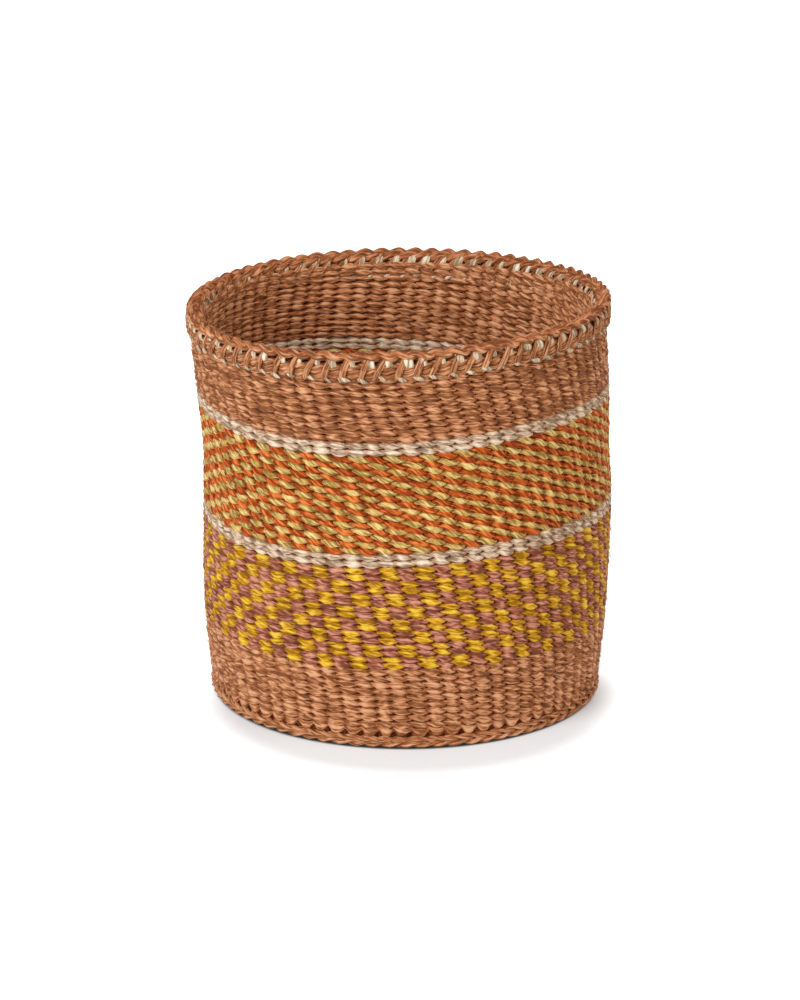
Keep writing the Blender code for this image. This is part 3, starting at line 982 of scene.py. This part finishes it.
class KIONDO_OT_rim_rows(bpy.types.Operator):
    """Twines the three small rows that hold the folded stake ends, outside and inside"""

    bl_idname = "kiondo.rim_rows"
    bl_label = "Rim rows"

    def execute(self, context):
        rng = np.random.default_rng(SEED + 50)
        stakes = sizes().stakes
        copies = 2 * SMALL_ROWS
        sections = stakes * SECTIONS_PER_STAKE
        mesh, copy, section, turn = tubes("rim_rows", copies, sections, LASHING_SIDES, True)
        side = np.where(copy % 2 == 0, 1, -1)
        row = copy // 2
        place = section / SECTIONS_PER_STAKE
        over = np.cos(math.pi * place) ** 2
        lumps = each(rng, (copies, stakes), copy, np.round(place).astype(int) % stakes) * over
        crest = (SMALL_ROW_CREST + SMALL_ROW_SPREAD * lumps) * MM * over
        reach = SMALL_ROW_REACH - SMALL_ROW_DIP + crest
        out = side * reach + SMALL_ROW_HALF_DEPTH * np.cos(turn)
        slant = SMALL_ROW_SLANT * np.sin(2 * math.pi * place)
        level = SMALL_ROW_START + row * SMALL_ROW_PITCH + slant
        half_height = (SMALL_ROW_HALF_HEIGHT + SMALL_ROW_SPREAD * over) * MM
        level = level + SMALL_ROW_SPREAD * MM * lumps + half_height * np.sin(turn)
        angle = stake_angle(place + END_LEAN, level)
        points = on_ring(ROLL_MIDDLE + out, angle, level)
        # Painted shade where a small row lies back between two ends
        finish_piece(mesh, points, lumps, (1 - over) * 0.7, [stakes] * copies, "tan_sisal")
        return {"FINISHED"}


class KIONDO_OT_rim_lashing(bpy.types.Operator):
    """Winds the lashing round the rim between each folded stake end and the next"""

    bl_idname = "kiondo.rim_lashing"
    bl_label = "Rim lashing"

    def execute(self, context):
        rng = np.random.default_rng(SEED + 60)
        stakes = sizes().stakes
        copies = LASHING_TURNS * stakes
        sections = LASHING_SECTIONS
        mesh, copy, section, turn = tubes("rim_lashing", copies, sections, LASHING_SIDES, True)
        lap = 2 * math.pi * section / sections
        wide = LASHING_REACH + 0.2 * MM * each(rng, copies, copy)
        tall = (LASHING_TOP - LASHING_BOTTOM) / 2
        reach = wide * np.sign(np.cos(lap)) * np.abs(np.cos(lap)) ** LASHING_SQUARENESS
        height = tall * np.sign(np.sin(lap)) * np.abs(np.sin(lap)) ** LASHING_SQUARENESS
        height = height * (1 + 0.06 * each(rng, copies, copy))
        thick = LASHING_HALF_THICKNESS * np.cos(turn)
        out = reach + np.cos(lap) * thick
        level = (LASHING_TOP + LASHING_BOTTOM) / 2 + height + np.sin(lap) * thick
        pair = copy // LASHING_TURNS
        beside = copy % LASHING_TURNS - (LASHING_TURNS - 1) / 2
        beside = beside * LASHING_SPACING * LASHING_HALF_WIDTH
        beside = beside + 0.3 * MM * each(rng, stakes, pair) + 0.1 * MM * each(rng, copies, copy)
        slant = LASHING_SLANT_SHARE + 0.08 * each(rng, stakes, pair)
        slant = (slant + 0.03 * each(rng, copies, copy)) * height
        bow = LASHING_BOW * (np.abs(height) / tall) ** 2
        across = beside + (slant + bow) * np.sign(out) + LASHING_HALF_WIDTH * np.sin(turn)
        ring = ROLL_MIDDLE + out
        angle = stake_angle(pair + END_LEAN + 0.5, level) + across / ring
        points = on_ring(ring, angle, level)
        tone = each(rng, copies, copy)
        # A little painted shade all along the lashing
        finish_piece(mesh, points, tone, 0.1, [3] * copies, "tan_sisal", ["rim_binding"])
        return {"FINISHED"}


# Loose fibres

FIBRES = 3800
FIBRE_SECTIONS = 8
FIBRE_SIDES = 3
FIBRE_RADIUS = 0.09 * MM
FIBRE_TOP = 171 * MM
FIBRE_SHORTEST = 2.5 * MM
FIBRE_LONGEST = 8 * MM
# How far a fibre stands off the weave, at least and in spread, and how deep its root lies in it
FIBRE_STAND = 0.25 * MM
FIBRE_STAND_SPREAD = 0.5 * MM
FIBRE_ROOT_DEPTH = 0.35 * MM
FIBRE_HEADING_SPREAD = 0.3
FIBRE_CURL = 0.2
FIBRES_INSIDE_SHARE = 0.3
# Painted highlight: how much paler the loose fibres are drawn, in steps of tone
FIBRE_PAINTED_HIGHLIGHT = 1.8


class KIONDO_OT_loose_fibres(bpy.types.Operator):
    """Lets fine fibres stray from the weave, most of them almost along their row"""

    bl_idname = "kiondo.loose_fibres"
    bl_label = "Loose fibres"

    def execute(self, context):
        rng = np.random.default_rng(SEED + 70)
        name = "loose_fibres"
        mesh, copy, section, turn = tubes(name, FIBRES, FIBRE_SECTIONS, FIBRE_SIDES, False)
        start = rng.uniform(0, 2 * math.pi, FIBRES)
        level = rng.uniform(WALL_START, FIBRE_TOP, FIBRES)
        length = rng.uniform(FIBRE_SHORTEST, FIBRE_LONGEST, FIBRES)
        heading = rng.normal(0.0, FIBRE_HEADING_SPREAD, FIBRES)
        heading = heading + np.where(rng.uniform(size=FIBRES) < 0.5, 0, math.pi)
        stand = FIBRE_STAND + np.abs(rng.normal(0.0, FIBRE_STAND_SPREAD, FIBRES))
        curl = rng.uniform(-FIBRE_CURL, FIBRE_CURL, FIBRES)
        wide = FIBRE_RADIUS * rng.uniform(0.6, 1.2, FIBRES)
        inside = rng.uniform(size=FIBRES) < FIBRES_INSIDE_SHARE
        # The long fibre at the lower right of the front
        start[0] = math.radians(-36)
        level[0] = 26 * MM
        length[0] = 30 * MM
        heading[0] = math.radians(-150)
        stand[0] = 1.9 * MM
        curl[0] = -0.17
        wide[0] = 0.2 * MM
        inside[0] = False
        share = section / FIBRE_SECTIONS
        bend = 4 * share * (1 - share)
        along = length[copy] * share
        bow = curl[copy] * length[copy] * bend
        across = along * np.cos(heading[copy]) - bow * np.sin(heading[copy])
        climb = along * np.sin(heading[copy]) + bow * np.cos(heading[copy])
        fibre_level = level[copy] + climb
        taper = wide[copy] * (1.15 - 0.6 * share)
        root = FIBRE_ROOT_DEPTH * (1 - bend) * (1 - share)
        lift = stand[copy] * (0.1 + share * 0.9) - root
        lift = lift + taper * np.cos(turn)
        outer = between(outline(), fibre_level)[..., 0]
        radius = np.where(inside[copy], outer - sizes().wall_thickness - lift, outer + lift)
        angle = start[copy] + across / outer
        points = on_ring(radius, angle, fibre_level, taper * np.sin(turn))
        # The fibres are drawn pale as painted highlight
        finish_piece(mesh, points, FIBRE_PAINTED_HIGHLIGHT, 0.0, [1] * FIBRES, "tan_sisal")
        return {"FINISHED"}


# Stage

CAMERA_ELEVATION = math.radians(17.45)
CAMERA_DISTANCE = 1.7
CAMERA_LENS = 138.5
CAMERA_FILM = 36.0
CAMERA_TARGET = Vector((0.66 * MM, 0.0, 84.3 * MM))
FLOOR_HALF_WIDTH = 4.0
# Painted light: the floor glows on camera rays, weakly within the kept radius of the shadow's middle
# and fully beyond the end radius, which hides the lit shadow away from the foot
SHADOW_MIDDLE = (5.5 * MM, -30.0 * MM, 0.0)
SHADOW_KEPT_RADIUS = 0.076
SHADOW_END_RADIUS = 0.104
NEAR_GLOW = 0.19
FAR_GLOW = 1.1
SKY_LIGHT = 0.3
# (name, place, size, power, colour)
LAMPS = (
    ("key_light", (-1.27, -1.58, 1.0), 1.4, 36.0, (1.0, 1.0, 1.0)),
    ("fill_light", (1.95, -0.85, 0.6), 1.6, 18.0, (1.0, 0.88, 0.77)),
    ("top_light", (0.0, -0.3, 1.6), 0.6, 4.8, (1.0, 0.9, 0.8)),
)
FLOOR_SHADE = 0.82
FLOOR_TINT = (0.94, 1.02, 1.08)
# Painted shadow: the dark line where the foot meets the floor at the front, which darkens both the
# floor's colour and its glow
CONTACT_SHADE = 0.08
CONTACT_MIDDLE = (FOOT_MIDDLE + 0.2 * MM, -1.9 * MM, 0.0)
CONTACT_RADIUS = 83.8 * MM
CONTACT_EDGE = 2.4 * MM


def seen_share(tree):
    """1 on rays that show the background or its reflection, 0 on those that only light things."""
    path = tree.nodes.new("ShaderNodeLightPath")
    seen = path.outputs["Is Camera Ray"]
    for kind in ("Is Glossy Ray", "Is Transmission Ray"):
        seen = maths(tree, "MAXIMUM", seen, path.outputs[kind])
    return seen


class KIONDO_OT_stage(bpy.types.Operator):
    """Sets the pale floor, the soft lights and the camera"""

    bl_idname = "kiondo.stage"
    bl_label = "Stage"

    def execute(self, context):
        self.floor()
        self.world()
        for lamp in LAMPS:
            self.lamp(*lamp)
        self.camera()
        context.scene.view_settings.view_transform = "Standard"
        return {"FINISHED"}

    def floor(self):
        shape = bmesh.new()
        bmesh.ops.create_grid(shape, x_segments=1, y_segments=1, size=FLOOR_HALF_WIDTH)
        mesh = bpy.data.meshes.new("studio_floor")
        shape.to_mesh(mesh)
        shape.free()
        material = bpy.data.materials.new("studio_floor")
        material.use_nodes = True
        tree = material.node_tree
        nodes = tree.nodes
        links = tree.links
        nodes.clear()
        matt = nodes.new("ShaderNodeBsdfDiffuse")
        glow = nodes.new("ShaderNodeEmission")
        glow.inputs["Color"].default_value = (1.0, 1.0, 1.0, 1.0)
        place = nodes.new("ShaderNodeTexCoord")

        def fade(middle, start, end, low, high):
            """A value that goes smoothly from low to high with the distance from a place."""
            distance = nodes.new("ShaderNodeVectorMath")
            distance.operation = "DISTANCE"
            distance.inputs[1].default_value = middle
            links.new(place.outputs["Object"], distance.inputs[0])
            ring = nodes.new("ShaderNodeMapRange")
            ring.interpolation_type = "SMOOTHSTEP"
            limits = {"From Min": start, "From Max": end, "To Min": low, "To Max": high}
            for label, value in limits.items():
                ring.inputs[label].default_value = value
            links.new(distance.outputs["Value"], ring.inputs["Value"])
            return ring.outputs["Result"]

        # Painted contact shadow along the front of the foot
        edge = CONTACT_RADIUS + CONTACT_EDGE
        shade = fade(CONTACT_MIDDLE, CONTACT_RADIUS, edge, CONTACT_SHADE, FLOOR_SHADE)
        grey = nodes.new("ShaderNodeCombineColor")
        for socket, share in zip(grey.inputs, FLOOR_TINT):
            links.new(maths(tree, "MULTIPLY", shade, share), socket)
        links.new(grey.outputs[0], matt.inputs["Color"])
        # Painted light: the glow hides the lit shadow away from the foot
        shown = fade(SHADOW_MIDDLE, SHADOW_KEPT_RADIUS, SHADOW_END_RADIUS, NEAR_GLOW, FAR_GLOW)
        seen = maths(tree, "MULTIPLY", seen_share(tree), shown)
        seen = maths(tree, "MULTIPLY", seen, shade)
        links.new(seen, glow.inputs["Strength"])
        both = nodes.new("ShaderNodeAddShader")
        links.new(matt.outputs[0], both.inputs[0])
        links.new(glow.outputs[0], both.inputs[1])
        surface = nodes.new("ShaderNodeOutputMaterial")
        links.new(both.outputs[0], surface.inputs["Surface"])
        mesh.materials.append(material)
        floor = bpy.data.objects.new("studio_floor", mesh)
        bpy.context.scene.collection.objects.link(floor)

    def world(self):
        world = bpy.data.worlds.new("studio_world")
        bpy.context.scene.world = world
        world.use_nodes = True
        tree = world.node_tree
        ground = tree.nodes["Background"]
        ground.inputs["Color"].default_value = (1.0, 1.0, 1.0, 1.0)
        strength = maths(tree, "MULTIPLY_ADD", seen_share(tree), 1 - SKY_LIGHT, SKY_LIGHT)
        tree.links.new(strength, ground.inputs["Strength"])

    def lamp(self, name, place, size, power, colour):
        light = bpy.data.lights.new(name, "AREA")
        light.shape = "DISK"
        light.size = size
        light.energy = power
        light.color = colour
        lamp = bpy.data.objects.new(name, light)
        lamp.location = place
        lamp.rotation_euler = (CAMERA_TARGET - Vector(place)).to_track_quat("-Z", "Y").to_euler()
        bpy.context.scene.collection.objects.link(lamp)

    def camera(self):
        data = bpy.data.cameras.new("camera")
        data.sensor_fit = "VERTICAL"
        data.sensor_height = CAMERA_FILM
        data.lens = CAMERA_LENS
        camera = bpy.data.objects.new("camera", data)
        away = Vector((0.0, -math.cos(CAMERA_ELEVATION), math.sin(CAMERA_ELEVATION)))
        camera.location = CAMERA_TARGET + CAMERA_DISTANCE * away
        camera.rotation_euler = (-away).to_track_quat("-Z", "Y").to_euler()
        bpy.context.scene.collection.objects.link(camera)
        bpy.context.scene.camera = camera


class KIONDO_PT_panel(bpy.types.Panel):
    """The basket's sizes, colours and pieces"""

    bl_idname = "KIONDO_PT_panel"
    bl_label = "Kiondo basket"
    bl_space_type = "VIEW_3D"
    bl_region_type = "UI"
    bl_category = "Kiondo"

    def draw(self, context):
        column = self.layout.column()
        for group in (context.scene.kiondo_sizes, context.scene.kiondo_colours):
            for name in group.bl_rna.properties.keys():
                if name not in ("rna_type", "name"):
                    column.prop(group, name)
        for operator in OPERATORS:
            column.operator(operator.bl_idname)


OPERATORS = (
    KIONDO_OT_stage,
    KIONDO_OT_stakes,
    KIONDO_OT_base,
    KIONDO_OT_foot_plait,
    KIONDO_OT_twined_bands,
    KIONDO_OT_stake_ends,
    KIONDO_OT_rim_rows,
    KIONDO_OT_rim_lashing,
    KIONDO_OT_rim_plait,
    KIONDO_OT_loose_fibres,
)
CLASSES = (KiondoSizes, KiondoColours, *OPERATORS, KIONDO_PT_panel)


def register():
    for cls in CLASSES:
        bpy.utils.register_class(cls)
    bpy.types.Scene.kiondo_sizes = PointerProperty(type=KiondoSizes)
    bpy.types.Scene.kiondo_colours = PointerProperty(type=KiondoColours)


def unregister():
    del bpy.types.Scene.kiondo_colours
    del bpy.types.Scene.kiondo_sizes
    for cls in reversed(CLASSES):
        bpy.utils.unregister_class(cls)


def main():
    register()
    bpy.ops.kiondo.stage()
    bpy.ops.kiondo.stakes()
    bpy.ops.kiondo.base()
    bpy.ops.kiondo.foot_plait()
    bpy.ops.kiondo.twined_bands()
    bpy.ops.kiondo.stake_ends()
    bpy.ops.kiondo.rim_rows()
    bpy.ops.kiondo.rim_lashing()
    bpy.ops.kiondo.rim_plait()
    bpy.ops.kiondo.loose_fibres()


if __name__ == "__main__":
    main()
